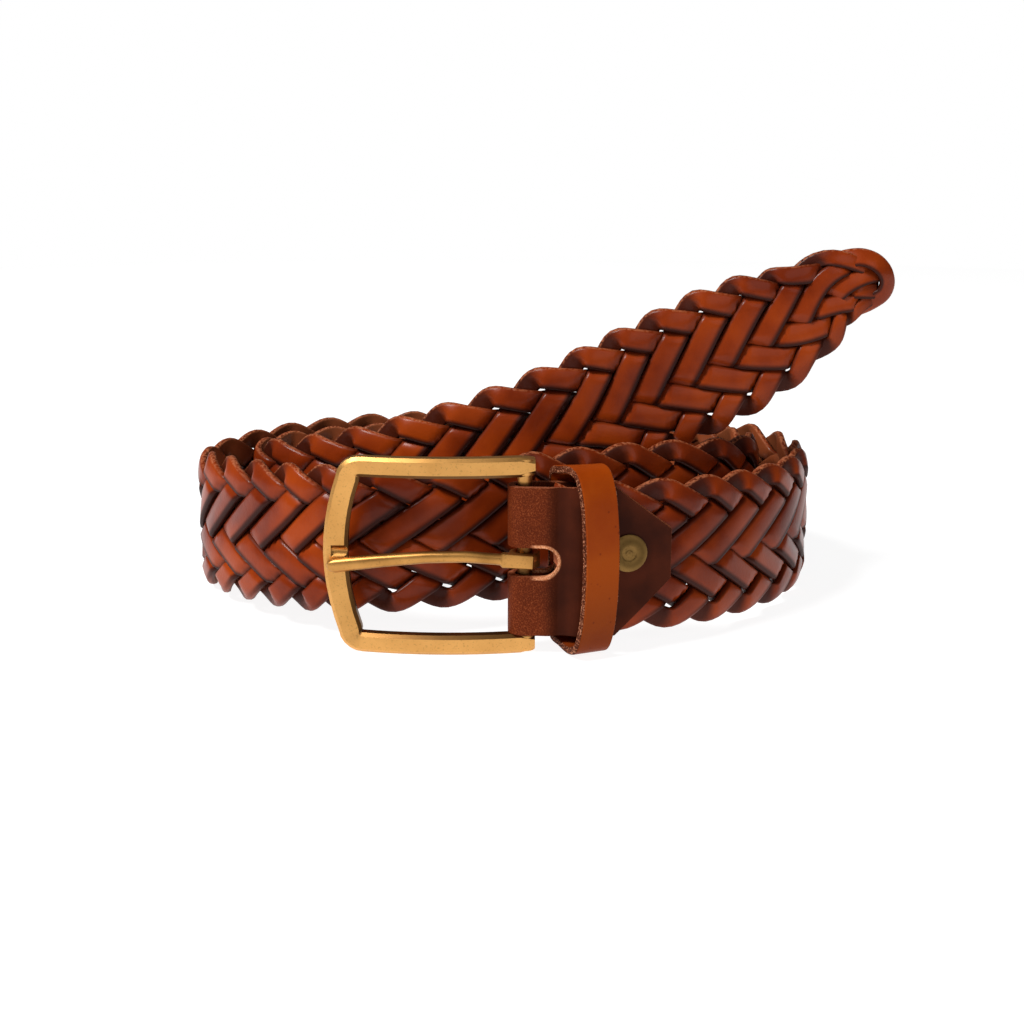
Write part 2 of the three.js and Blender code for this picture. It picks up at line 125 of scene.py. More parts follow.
def path_point(across, deep, inside, rise):
    """A row of the table in metres, before the path is moved to the bar."""
    return Vector((across * (ROLL_WIDTH / 2 - inside * LAYER_PITCH),
                   deep * (ROLL_DEPTH / 2 - inside * LAYER_PITCH),
                   (0.5 + rise) * STRAP_WIDTH))


places = [path_point(*row) for row in PATH]
shift = hinge - places[0]
places = [place + shift for place in places]
print("places on the path:", len(places))

# %% [markdown]
# A centripetal Catmull-Rom curve spaces its knots by the square root of the distance
# between places. That is what keeps it from looping where two places lie close together.

# %% The smooth route
ROUTE_STEPS = 48


def between(p0, p1, p2, p3, share):
    """A point of the curve between p1 and p2."""
    t0 = (p1 - p0).length ** 0.5
    t1 = (p2 - p1).length ** 0.5
    t2 = (p3 - p2).length ** 0.5
    slope_1 = ((p1 - p0) / t0 - (p2 - p0) / (t0 + t1) + (p2 - p1) / t1) * t1
    slope_2 = ((p2 - p1) / t1 - (p3 - p1) / (t1 + t2) + (p3 - p2) / t2) * t1
    bend_2 = -3 * p1 + 3 * p2 - 2 * slope_1 - slope_2
    bend_3 = 2 * p1 - 2 * p2 + slope_1 + slope_2
    return p1 + slope_1 * share + bend_2 * share**2 + bend_3 * share**3


def smooth_route(points, steps):
    """The curve through all points, as a list of places with this many steps between two."""
    ends = [points[0] * 2 - points[1], *points, points[-1] * 2 - points[-2]]
    line = []
    for i in range(len(points) - 1):
        line += [between(*ends[i:i + 4], step / steps) for step in range(steps)]
    return [*line, points[-1]]


route = smooth_route(places, ROUTE_STEPS)
# Between two level places the curve may dip a little. The strap stays on the ground.
for place in route:
    place.z = max(place.z, STRAP_WIDTH / 2 + shift.z)
reached = [0.0]
for here, there in zip(route, route[1:]):
    reached.append(reached[-1] + (there - here).length)
ROUTE_LENGTH = reached[-1]
print("route length in mm:", round(ROUTE_LENGTH / MM, 1))


def place_at(distance):
    """The point on the route, the way on, the way out and the way up across the strap."""
    distance = min(max(distance, 0), ROUTE_LENGTH)
    i = next((n for n, r in enumerate(reached[1:]) if r >= distance), len(route) - 2)
    share = (distance - reached[i]) / (reached[i + 1] - reached[i])
    onward = (route[i + 1] - route[i]).normalized()
    outward = Vector((onward.y, -onward.x, 0)).normalized()
    return route[i].lerp(route[i + 1], share), onward, outward, outward.cross(onward)


# %% [markdown]
# Formulas in a node tree are long chains of Math nodes. A small class lets them be
# written as sums and products, and makes one node for each. The other helpers add a node
# with its inputs, take a vector apart, and work on whole vectors.

# %% Helpers for formulas in nodes
class Field:
    """A value inside a node tree that can be added and multiplied like a number."""

    def __init__(self, tree, socket):
        self.tree = tree
        self.socket = socket

    def do(self, operation, *others):
        node = self.tree.nodes.new("ShaderNodeMath")
        node.operation = operation
        for socket, value in zip(node.inputs, (self, *others)):
            if isinstance(value, Field):
                self.tree.links.new(value.socket, socket)
            else:
                socket.default_value = value
        return Field(self.tree, node.outputs[0])

    def __add__(self, other):
        return self.do("ADD", other)

    def __sub__(self, other):
        return self.do("SUBTRACT", other)

    def __mul__(self, other):
        return self.do("MULTIPLY", other)

    def __truediv__(self, other):
        return self.do("DIVIDE", other)


def node_of(tree, kind, inputs=(), **settings):
    """Adds a node, sets its options, and links or sets the inputs given by name."""
    node = tree.nodes.new(kind)
    for name, value in settings.items():
        setattr(node, name, value)
    for name, value in dict(inputs).items():
        socket = node.inputs[name]
        if isinstance(value, Field):
            value = value.socket
        if isinstance(value, bpy.types.NodeSocket):
            tree.links.new(value, socket)
        else:
            socket.default_value = value
    return node


def parts_of(tree, vector):
    """The x, y and z of a vector."""
    node = node_of(tree, "ShaderNodeSeparateXYZ", {"Vector": vector})
    return [Field(tree, s) for s in node.outputs]


def vector_math(tree, operation, a, b=None, scale=None):
    """The result of a Vector Math node."""
    node = node_of(tree, "ShaderNodeVectorMath", operation=operation)
    for socket, value in zip(node.inputs, (a, b)):
        if isinstance(value, bpy.types.NodeSocket):
            tree.links.new(value, socket)
        elif value is not None:
            socket.default_value = value
    if scale is not None:
        tree.links.new(scale.socket, node.inputs["Scale"])
    return node.outputs["Vector"]


# %% [markdown]
# The plait is the main piece, and it follows a rule, so Geometry Nodes make it. Eight
# flat strands run zigzag from edge to edge. Each starts as a straight tube, and is then
# pressed flat, led along its zigzag, lifted over or led under the strands that it
# crosses, and last of all laid along the route.
#
# All measures of the plait are inputs of the tree, so that they can be changed later in
# one place. A pitch is the distance along the strap between the upper turns of two
# neighbouring strands. The strands start and end a little inside the solid strap's length.

# %% The plait's measures
STRANDS = 8
LOWER_LAG = 0.25
GOING_DOWN = 4 + LOWER_LAG
GOING_UP = 4 - LOWER_LAG
STRAND_START = 6.3 * MM
START_LATER = 0.4 * MM
TIP_SHORTER = 3.3 * MM

PLAIT_INPUTS = [
    ("Route", "NodeSocketObject", None),
    ("Length", "NodeSocketFloat", ROUTE_LENGTH - TIP_SHORTER),
    ("Start", "NodeSocketFloat", STRAND_START + START_LATER),
    ("Half width", "NodeSocketFloat", STRAP_WIDTH / 2),
    ("Pitch", "NodeSocketFloat", 12.97 * MM),
    ("First turn", "NodeSocketFloat", 6 * MM),
    ("Tight pitch", "NodeSocketFloat", 11.2 * MM),
    ("Tight length", "NodeSocketFloat", 80 * MM),
    ("Tip taper", "NodeSocketFloat", 44 * MM),
    ("Strand width", "NodeSocketFloat", 5.2 * MM),
    ("Strand thickness", "NodeSocketFloat", 2.1 * MM),
    ("Lift", "NodeSocketFloat", 1.15 * MM),
    ("Turn lean", "NodeSocketFloat", 0.8 * MM),
    ("Tilt", "NodeSocketFloat", 0.55 * MM),
    ("Middle spread", "NodeSocketFloat", 0.28),
    ("Tip wrap", "NodeSocketObject", None),
    ("Wrap facing", "NodeSocketVector", None),
    ("Tuck", "NodeSocketFloat", 1.2 * MM),
    ("Stagger", "NodeSocketFloat", 1.2 * MM),
    ("Turn softness", "NodeSocketFloat", 0.3),
    ("Stations", "NodeSocketInt", 760),
    ("Material", "NodeSocketMaterial", None),
]
plait = bpy.data.node_groups.new("plait", "GeometryNodeTree")
for name, kind, value in PLAIT_INPUTS:
    port = plait.interface.new_socket(name, in_out="INPUT", socket_type=kind)
    if value is not None:
        port.default_value = value
plait.interface.new_socket("Geometry", in_out="OUTPUT", socket_type="NodeSocketGeometry")
given_node = plait.nodes.new("NodeGroupInput")
given = {s.name: Field(plait, s) for s in given_node.outputs if s.name}
print("the plait's inputs:", ", ".join(given))

# %% [markdown]
# A strand of the real belt is one long, flat lace. It could be swept along a finished
# curve, but then its edges could not lean or tuck by themselves. So eight plain tubes are
# made first, and all the shaping is done to their points. Each tube has its number in an
# attribute, which tells the strands apart once they are one mesh.

# %% Eight straight tubes
TUBE_SIDES = 12
line = node_of(plait, "GeometryNodeCurvePrimitiveLine",
               {"Start": (0, 0, 0), "End": (1, 0, 0)})
line = node_of(plait, "GeometryNodeResampleCurve",
               {"Curve": line.outputs[0], "Count": given["Stations"]})
ring = node_of(plait, "GeometryNodeCurvePrimitiveCircle",
               {"Resolution": TUBE_SIDES, "Radius": 1.0})


def tube_along(curve):
    """A closed tube round a curve, with a radius of one metre."""
    return node_of(plait, "GeometryNodeCurveToMesh", {
        "Curve": curve.outputs[0], "Profile Curve": ring.outputs[0], "Fill Caps": True})


one = node_of(plait, "GeometryNodeGeometryToInstance",
              {"Geometry": tube_along(line).outputs[0]})
many = node_of(plait, "GeometryNodeDuplicateElements",
               {"Geometry": one.outputs[0], "Amount": STRANDS}, domain="INSTANCE")
named = node_of(plait, "GeometryNodeStoreNamedAttribute",
                {"Geometry": many.outputs[0], "Name": "strand",
                 "Value": many.outputs["Duplicate Index"]},
                data_type="FLOAT", domain="INSTANCE")
tubes = node_of(plait, "GeometryNodeRealizeInstances", {"Geometry": named.outputs[0]})
print("tubes:", STRANDS, "with", TUBE_SIDES, "sides each")

# %% [markdown]
# The tubes run along x, from 0 to 1, so a point's x is its share of the way along the
# strand, and its y and z are its place on the rim. Pulled towards the corners, the round
# rim becomes a flat band with soft edges.
#
# The phase says where on its zigzag a point is: 0 at the upper edge, counted in pitches.
# Each strand runs one pitch behind the last. A plait made by hand isn't even, so the phase
# drifts a little along the strap, and it is tighter near the tip.

# %% Where on its strand each point lies
SQUARE_ACROSS = 0.46
SQUARE_FACE = 0.48
END_PLACES = 3
# At each distance in mm, how many pitches the real plait runs ahead of an even one.
DRIFT = [(0, -0.05), (60, 0), (95, 0.17), (150, 0.1), (250, 0), (345, 0.14), (362, 0.2),
         (378, 0.02), (400, -0.2), (424, -0.1), (442, -0.2), (470, -0.18), (486, -0.02),
         (600, 0), (746, 0.08), (773, 0.1), (790, 0), (852, -0.1)]


def curved(value, places):
    """What a curve through these places says for a value. All lie between 0 and 1."""
    node = node_of(value.tree, "ShaderNodeFloatCurve", {"Value": value})
    points = node.mapping.curves[0].points
    points[0].location, points[1].location = places[0], places[-1]
    for place in places[1:-1]:
        points.new(*place)
    for point in points:
        point.handle_type = "AUTO_CLAMPED"
    node.mapping.update()
    return Field(value.tree, node.outputs[0])


def curved_both_ways(value, places):
    """The same for a curve that swings between -1 and 1."""
    halved = [(place, 0.5 + swing / 2) for place, swing in places]
    return (curved(value, halved) - 0.5) * 2


def flattened(value, power):
    """Keeps the sign and pulls a circle's coordinate towards the corners of a rectangle."""
    return value.do("ABSOLUTE").do("POWER", power) * value.do("SIGN")


strand_of = node_of(plait, "GeometryNodeInputNamedAttribute", {"Name": "strand"},
                    data_type="FLOAT")
strand = Field(plait, strand_of.outputs[0])
position = node_of(plait, "GeometryNodeInputPosition")
along, ring_y, ring_z = parts_of(plait, position.outputs[0])
across = flattened(ring_y, SQUARE_ACROSS)
face = flattened(ring_z, SQUARE_FACE)
# The strands end at three different places, so that the tip isn't cut off square.
last = given["Length"] - strand.do("MODULO", END_PLACES) * given["Stagger"]
distance = given["Start"] + along * (last - given["Start"])
tight = (distance - (given["Length"] - given["Tight length"])).do("MAXIMUM", 0)
phase = ((distance - tight - given["First turn"]) / given["Pitch"]
         + tight / given["Tight pitch"] - strand)
drift = curved_both_ways(distance / given["Length"],
                         [(place / DRIFT[-1][0], ahead) for place, ahead in DRIFT])
phase = (phase - drift).do("WRAP", GOING_DOWN, -GOING_UP)
print("drift at", len(DRIFT), "places, at most",
      max(abs(ahead) for _, ahead in DRIFT), "pitches")

# %% [markdown]
# A strand goes straight from edge to edge, and bends round at the edges. Straight lines
# joined by soft minimum and maximum nodes give that shape. Near the tip the strap and its
# strands become narrower, by a share that a curve holds.

# %% The zigzag, with rounded turns
TIP_SHAPE = [(0, 1), (0.3, 0.9), (0.46, 0.79), (0.62, 0.68), (0.72, 0.6), (0.84, 0.49),
             (1, 0.33)]
# What would be left of a strand's half width, 0.5, where the strap's own width runs out.
HALF_AT_TIP = 0.2
# Softening draws the turns in, so the zigzag reaches past the strap's edge by this factor.
EDGE_REACH = 1.05
# The slope is taken over this many pitches to either side.
SLOPE_STEP = 0.04


def zigzag(phase):
    """The strand's height across the strap, from -1 to 1, with soft corners."""
    rising = phase * (2 / GOING_UP) + 1
    falling = phase * (-2 / GOING_DOWN) + 1
    next_rising = phase * (2 / GOING_UP) + (-1 - 2 * GOING_DOWN / GOING_UP)
    last_falling = phase * (-2 / GOING_DOWN) + (-1 - 2 * GOING_UP / GOING_DOWN)
    softness = given["Turn softness"]
    top = rising.do("SMOOTH_MIN", falling, softness)
    low = top.do("SMOOTH_MAX", next_rising, softness)
    return low.do("SMOOTH_MAX", last_falling, softness)


share = curved((distance - (given["Length"] - given["Tip taper"])) / given["Tip taper"],
               TIP_SHAPE)
turned = zigzag(phase)
half_width = given["Strand width"] * (share * (0.5 - HALF_AT_TIP) + HALF_AT_TIP)
half_strand = half_width * ((turned * turned * -1 + 1) * given["Middle spread"] + 1)
swing = (given["Half width"] * share - half_width) * EDGE_REACH
slope = ((zigzag(phase + SLOPE_STEP) - zigzag(phase - SLOPE_STEP)) * swing
         / (given["Pitch"] * (2 * SLOPE_STEP)))
steep = (slope * slope + 1).do("SQRT")
sideways = across * half_strand
strap_along = (distance - sideways * slope / steep).do("MAXIMUM", given["Start"])
strap_across = turned * swing + sideways / steep
print("pitches going down:", GOING_DOWN, "and going up:", GOING_UP)

# %% [markdown]
# Between the upper and the lower edge a strand crosses seven others. Going down it runs
# over one, under three, over two and under one. Going up it runs over one, under two,
# over three and under one. A curve holds that rhythm, so the weave can be changed by hand.
#
# A strand isn't flat on the strap either: it leans where it turns at an edge, tilts a
# little in the middle, and its end is tucked in.

# %% Over and under
CROSSINGS = 8
# For each crossing, first on the way down and then on the way up: 1 is over, -1 under.
LIFTS = {1: 1, 2: -1, 3: -1, 4: -1, 5: 1, 6: 1, 7: -1,
         9: 1, 10: -1, 11: -1, 12: 1, 13: 1, 14: 1, 15: -1}
# A slanting strand's two edges meet a crossing one after the other, by this share.
SKEW = 0.33
# A strand stays over or under for this much of a crossing, on both sides of its middle.
REST = 0.3
# At the tip strands are lifted less, and over the last stretch they are tucked in.
TIP_LIFT = 0.8
TUCK_REACH = 6 * MM

going = phase.do("GREATER_THAN", 0)
crossing = (phase * (CROSSINGS / GOING_DOWN) * going
            + (phase * (CROSSINGS / GOING_UP) + 2 * CROSSINGS) * (going * -1 + 1))
crossing = (crossing + across * slope * SKEW).do("WRAP", 2 * CROSSINGS, 0)
beats = [(0, 0), (0.5, 0), (1, 0)]
beats += [((step + side) / (2 * CROSSINGS), lift)
          for step, lift in LIFTS.items() for side in (-REST, REST)]
over = curved_both_ways(crossing / (2 * CROSSINGS), sorted(beats))
lean = turned * turned * turned * turned * turned
near_middle = turned.do("ABSOLUTE") * -1 + 1
tuck = ((distance - last) / TUCK_REACH + 1).do("MAXIMUM", 0)
height = (over * given["Lift"] * (share * (1 - TIP_LIFT) + TIP_LIFT)
          + face * given["Strand thickness"] * 0.5
          - across * (lean * given["Turn lean"] + near_middle * given["Tilt"])
          - tuck * given["Tuck"])
print("lifts:", len(LIFTS), "crossings in", len(beats), "points of the curve")

# %% [markdown]
# The plait is flat so far. Now each point is taken to its distance along the route, then
# up across the strap, and then out of it. The route's own direction gives all three ways,
# so the strap bends and never twists.
#
# The leather needs to know later how each point lies: what covers it, on which side and
# face of the strand it is, and how far along. Two attributes carry that to the material.

# %% Laid along the route
def moved(start, way, distance):
    """A point this far from the start."""
    return vector_math(plait, "ADD", start,
                       vector_math(plait, "SCALE", way, scale=distance))


def laid(geometry, covered, turned, point):
    """Moves a tube's points to their places, and keeps how they lie for the material."""
    for name, parts in (("lay", (covered, across, face)),
                        ("run", (from_start, turned, 0))):
        value = node_of(plait, "ShaderNodeCombineXYZ", zip("XYZ", parts))
        geometry = node_of(plait, "GeometryNodeStoreNamedAttribute",
                           {"Geometry": geometry, "Name": name, "Value": value.outputs[0]},
                           data_type="FLOAT_VECTOR", domain="POINT").outputs[0]
    return node_of(plait, "GeometryNodeSetPosition",
                   {"Geometry": geometry, "Position": point}).outputs[0]


guide = node_of(plait, "GeometryNodeObjectInfo", {"Object": given["Route"]})
sample = node_of(plait, "GeometryNodeSampleCurve",
                 {"Curves": guide.outputs["Geometry"], "Length": strap_along},
                 mode="LENGTH", use_all_curves=True)
onward = sample.outputs["Tangent"]
outward = vector_math(plait, "CROSS_PRODUCT", onward, (0, 0, 1))
outward = vector_math(plait, "NORMALIZE", outward)
upward = vector_math(plait, "CROSS_PRODUCT", outward, onward)
point = moved(sample.outputs["Position"], upward, strap_across)
point = moved(point, outward, height)
covered = over * face * -1 + tuck
from_start = distance - given["Start"]
strands = laid(tubes.outputs[0], covered, turned, point)
print("plait tree so far:", len(plait.nodes), "nodes")

# %% [markdown]
# On the real belt the strands' ends are drawn together at the tip, and one strand goes
# round them. It doesn't follow the zigzag, so it gets a short route of its own, and a
# fixed direction that its face looks to.

# %% One more strand goes round the tip
WRAP_STATIONS = 80
# Its half width, half thickness and lean, as shares of the other strands' measures.
WRAP_HALF_WIDTH = 0.44
WRAP_BULGE = 0.55
WRAP_LEAN = 1.4

wrap_guide = node_of(plait, "GeometryNodeObjectInfo", {"Object": given["Tip wrap"]})
wrap_sample = node_of(plait, "GeometryNodeSampleCurve",
                      {"Curves": wrap_guide.outputs["Geometry"], "Factor": along},
                      mode="FACTOR", use_all_curves=True)
facing = given["Wrap facing"].socket
aside = vector_math(plait, "CROSS_PRODUCT", facing, wrap_sample.outputs["Tangent"])
half_wrap = given["Strand width"] * WRAP_HALF_WIDTH
bulge = (face * given["Strand thickness"] * WRAP_BULGE
         - across * given["Turn lean"] * WRAP_LEAN)
wrap_point = moved(wrap_sample.outputs["Position"], aside, across * half_wrap)
wrap_point = moved(wrap_point, facing, bulge)
wrap_line = node_of(plait, "GeometryNodeResampleCurve",
                    {"Curve": line.outputs[0], "Count": WRAP_STATIONS})
wrap = laid(tube_along(wrap_line).outputs[0], -1, 1, wrap_point)
print("the wrapped strand has", WRAP_STATIONS, "stations")

# %% [markdown]
# The tree ends as it has to: what it made is joined, made real and given its material.

# %% The end of the tree
joined = plait.nodes.new("GeometryNodeJoinGeometry")
plait.links.new(strands, joined.inputs[0])
plait.links.new(wrap, joined.inputs[0])
soft = node_of(plait, "GeometryNodeSetShadeSmooth", {"Geometry": joined.outputs[0]})
real = node_of(plait, "GeometryNodeRealizeInstances", {"Geometry": soft.outputs[0]})
dressed = node_of(plait, "GeometryNodeSetMaterial",
                  {"Geometry": real.outputs[0], "Material": given["Material"]})
result = plait.nodes.new("NodeGroupOutput")
plait.links.new(dressed.outputs[0], result.inputs[0])
print("plait tree:", len(plait.nodes), "nodes")

# %% [markdown]
# Both leather and brass have a fine grain and larger, cloudy patches. They differ only in
# scale, so one node group gives both, and every material uses it: the height of the grain
# for bumps and speckles, and the patches for slow changes of colour and gloss.

# %% Grain, shared by all materials
grain = bpy.data.node_groups.new("fine_grain", "ShaderNodeTree")
for name, value in [("Scale", 900.0), ("Patch scale", 60.0)]:
    port = grain.interface.new_socket(name, in_out="INPUT", socket_type="NodeSocketFloat")
    port.default_value = value
for name in ("Height", "Patches"):
    grain.interface.new_socket(name, in_out="OUTPUT", socket_type="NodeSocketFloat")
grain_in = grain.nodes.new("NodeGroupInput")
grain_out = grain.nodes.new("NodeGroupOutput")
where = node_of(grain, "ShaderNodeTexCoord").outputs["Object"]
scale = grain_in.outputs["Scale"]
fine = node_of(grain, "ShaderNodeTexNoise",
               {"Vector": where, "Scale": scale, "Detail": 3.0, "Roughness": 0.6})
cells = node_of(grain, "ShaderNodeTexVoronoi", {"Vector": where, "Scale": scale},
                feature="SMOOTH_F1")
patches = node_of(grain, "ShaderNodeTexNoise",
                  {"Vector": where, "Scale": grain_in.outputs["Patch scale"], "Detail": 4.0})
height_sum = Field(grain, fine.outputs[0]) * 0.6 + Field(grain, cells.outputs[0]) * 0.4
grain.links.new(height_sum.socket, grain_out.inputs["Height"])
grain.links.new(patches.outputs[0], grain_out.inputs["Patches"])
print("grain tree:", len(grain.nodes), "nodes")


# %% [markdown]
# Every material below is built the same way: start with the grain, work out masks from
# where a point lies, mix colours by those masks, and link the result to the shader. The
# first and the last of these steps are the same for all, so they come first.

# %% Start and end of a material
def start_material(name, grain_scale, patch_scale):
    """A new material, with its tree, its shader, and the grain's patches and height."""
    material = bpy.data.materials.new(name)
    material.use_nodes = True
    tree = material.node_tree
    surface = node_of(tree, "ShaderNodeGroup", node_tree=grain)
    surface.inputs["Scale"].default_value = grain_scale
    surface.inputs["Patch scale"].default_value = patch_scale
    patch, fibres = (Field(tree, surface.outputs[s]) for s in ("Patches", "Height"))
    return material, tree, tree.nodes["Principled BSDF"], patch, fibres


def set_look(tree, shader, colour, roughness, height, strength, depth, **flat):
    """Links colour, roughness and bump to the shader, and sets its uniform values."""
    tree.links.new(colour, shader.inputs["Base Color"])
    tree.links.new(roughness.socket, shader.inputs["Roughness"])
    bump = node_of(tree, "ShaderNodeBump",
                   {"Height": height, "Strength": strength, "Distance": depth})
    tree.links.new(bump.outputs[0], shader.inputs["Normal"])
    for name, value in flat.items():
        shader.inputs[name.replace("_", " ")].default_value = value


# %% [markdown]
# A mask is a value from 0 to 1. A smooth step of a coordinate, of a normal or of one of
# the plait's attributes makes one, and it then mixes two colours. Ramps turn the grain
# into colours.

# %% Colours and masks
def ramp(tree, value, *stops):
    """A colour ramp through (place, colour) stops."""
    node = node_of(tree, "ShaderNodeValToRGB", {"Fac": value})
    elements = node.color_ramp.elements
    elements[0].position, elements[0].color = stops[0][0], (*stops[0][1], 1)
    elements[1].position, elements[1].color = stops[-1][0], (*stops[-1][1], 1)
    for place, colour in stops[1:-1]:
        elements.new(place).color = (*colour, 1)
    return node.outputs["Color"]


def mixed(tree, share, a, b):
    """Colour a where share is 0 and b where it is 1."""
    node = node_of(tree, "ShaderNodeMix", data_type="RGBA")
    for socket, value in ((node.inputs[0], share), (node.inputs[6], a), (node.inputs[7], b)):
        value = value.socket if isinstance(value, Field) else value
        if isinstance(value, bpy.types.NodeSocket):
            tree.links.new(value, socket)
        else:
            socket.default_value = (*value, 1) if len(value) == 3 else value
    return node.outputs[2]


def spread(value, low, high):
    """0 below low, 1 above high, and smooth between."""
    node = node_of(value.tree, "ShaderNodeMapRange",
                   {"Value": value, "From Min": low, "From Max": high},
                   interpolation_type="SMOOTHSTEP")
    return Field(value.tree, node.outputs[0])


def fade(value, low, high):
    """1 below low, 0 above high, and smooth between."""
    return spread(value * -1, -high, -low)


def object_parts(tree, output):
    """The three parts of the object's coordinates ("Object") or of its normal ("Normal")."""
    return parts_of(tree, node_of(tree, "ShaderNodeTexCoord").outputs[output])


def attribute_parts(tree, name):
    """The three parts of a vector that the plait's tree has kept with the mesh."""
    found = node_of(tree, "ShaderNodeAttribute", attribute_name=name)
    return parts_of(tree, found.outputs["Vector"])


# %% [markdown]
# The strands are dyed a red brown in uneven patches. Their sides, and wherever one runs
# under another, are painted nearly black as shade: painted shadow in the gaps between
# strands, which is also made rougher. The flesh side is dull and light. The dye doesn't
# reach the cut edges, which show as a raw, fibrous rim at the upper turns and as raw ends
# in the fold's slot.
#
# A texture painted by hand would do, but the two attributes know already where all that
# is. So each mask is a smooth step of one of their parts.

# %% Strand leather
STRAND_DYE = [(0.36, (0.14, 0.015, 0.002)), (0.5, (0.23, 0.028, 0.003)),
              (0.64, (0.3, 0.04, 0.003))]
# The near black of painted shade in the gaps between strands.
PAINTED_GAP_SHADE = (0.02, 0.003, 0.0012)
FLESH_SIDE = (0.2, 0.055, 0.018)
RAW_LEATHER = (0.42, 0.13, 0.055)

strand_leather, tree, shader, patch, fibres = start_material("strand_leather", 1400, 55)
dye = ramp(tree, patch, *STRAND_DYE)
covered, strand_side, strand_face = attribute_parts(tree, "lay")
from_start, turned, _ = attribute_parts(tree, "run")
free_top = spread(turned, 0.55, 0.9)
free_low = spread(turned * -1, 0.6, 0.95)
# Painted shade: the lower side, the upper side away from the turns, and the stretches under
# other strands are darkened, as shadow in the gaps between strands.
low_side_shade = spread(strand_side * -1, 0.4, 0.8) * (free_low * -0.8 + 1) * 0.92
top_side_shade = spread(strand_side, 0.7, 0.98) * (free_top * -1 + 1) * 0.6
under_shade = spread(covered, -0.7, 0.6) * 0.85
painted_shade = low_side_shade.do("MAXIMUM", top_side_shade).do("MAXIMUM", under_shade)
flesh = spread(strand_face * -1, 0.35, 0.7)
colour = mixed(tree, painted_shade, dye, PAINTED_GAP_SHADE)
colour = mixed(tree, flesh * 0.7, colour, FLESH_SIDE)
raw_rim = spread(strand_side, 0.78, 0.94) * free_top * spread(fibres, 0.36, 0.56)
_, _, at_z = object_parts(tree, "Object")
in_slot = fade((at_z - hinge.z).do("ABSOLUTE"), 3.5 * MM, 4.5 * MM)
raw_end = fade(from_start, 2.5 * MM, 4 * MM) * in_slot
colour = mixed(tree, (raw_rim * 0.8).do("MAXIMUM", raw_end * 0.85), colour, RAW_LEATHER)
rough = (patch * 0.16 + 0.23) + (painted_shade * 0.35).do("MAXIMUM", flesh * 0.45)
set_look(tree, shader, colour, rough, fibres * (raw_rim * 0.8 + 0.2), 1.0, 0.25 * MM,
         Specular_IOR_Level=0.09, Coat_Weight=0.14, Coat_Roughness=0.22)
print("strand leather:", len(tree.nodes), "nodes")

# %% [markdown]
# The tree reads its two routes from plain curves: the strap's route from above, and a
# short one for the strand round the tip, whose places are measured back from the tip.

# %% The routes as curves
# The strand round the tip, in mm: back from the tip, up from the middle, out.
TIP_WRAP = [(14, 5.8, -1.5), (11, 6.7, -0.4), (8, 6.7, 0.8), (5, 5.4, 1.4),
            (2.6, 3.0, 1.1), (1.6, 0, 0.2), (2.4, -2.6, -0.4), (4.8, -4.4, -0.8),
            (8.2, -5.7, -0.9), (13, -6.0, -1.0), (17, -5.2, -1.3), (20, -4.4, -1.7)]
WRAP_STEPS = 10


def guide_through(name, line):
    """A plain curve object through a list of points."""
    data = bpy.data.curves.new(name, "CURVE")
    data.dimensions = "3D"
    spline = data.splines.new("POLY")
    spline.points.add(len(line) - 1)
    for spline_point, place in zip(spline.points, line):
        spline_point.co = (*place, 1)
    return added(name, data)


wrap_places = []
for back, up, out in TIP_WRAP:
    place, _, outward_here, upward_here = place_at(ROUTE_LENGTH - back * MM)
    wrap_places.append(place + upward_here * (up * MM) + outward_here * (out * MM))
route_guide = guide_through("strap_route", route)
wrap_route = guide_through("tip_wrap", smooth_route(wrap_places, WRAP_STEPS))
print("routes with", len(route), "and", len(wrap_route.data.splines[0].points), "points")

# %% [markdown]
# The tree runs as a modifier on an empty mesh. Its measures go in by each input's own
# identifier, because that is what a modifier stores, and names may change. The result
# becomes a mesh of its own, and then the two curves and the modifier go.

# %% Make the plait
def made_by_nodes(name, group, values):
    """Runs a node tree on an empty mesh and keeps the result as a plain mesh object."""
    maker = added("maker", bpy.data.meshes.new("maker"))
    modifier = maker.modifiers.new("nodes", "NODES")
    modifier.node_group = group
    for item in group.interface.items_tree:
        if item.item_type == "SOCKET" and item.in_out == "INPUT" and item.name in values:
            modifier[item.identifier] = values[item.name]
    graph = bpy.context.evaluated_depsgraph_get()
    mesh = bpy.data.meshes.new_from_object(maker.evaluated_get(graph))
    mesh.name = name
    # Set Material leaves an empty first slot, which no face uses.
    mesh.materials.pop(index=0)
    bpy.data.objects.remove(maker)
    return added(name, mesh)


values = {name: value for name, _, value in PLAIT_INPUTS if value is not None}
values |= {"Route": route_guide, "Tip wrap": wrap_route,
           "Wrap facing": place_at(ROUTE_LENGTH)[2], "Material": strand_leather}
strap = made_by_nodes("plaited_strands", plait, values)
bpy.data.objects.remove(route_guide)
bpy.data.objects.remove(wrap_route)
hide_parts("braided_strap")
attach(strap, "strap")
print("plait:", len(strap.data.polygons), "faces,", len(strap.data.materials), "material")


# %% [markdown]
# Fold, keeper, buckle and prong already have their true shapes in the CAD model. What
# they lack is soft edges: leather is pressed round where it was cut, and a casting has no
# knife edge. Each is copied, its loose triangles are joined, and its edges are bevelled.
# A bevel modifier would do that too, but done in the mesh, the result can be cleaned and
# counted: an edge with only one face would be a hole.

# %% Pieces that start from a CAD node
SAME_PLACE = 0.001 * MM
SAME_AFTER_BEVEL = 0.002 * MM
TOO_SHORT = 0.05 * MM
FLAT_ANGLE = math.radians(0.5)


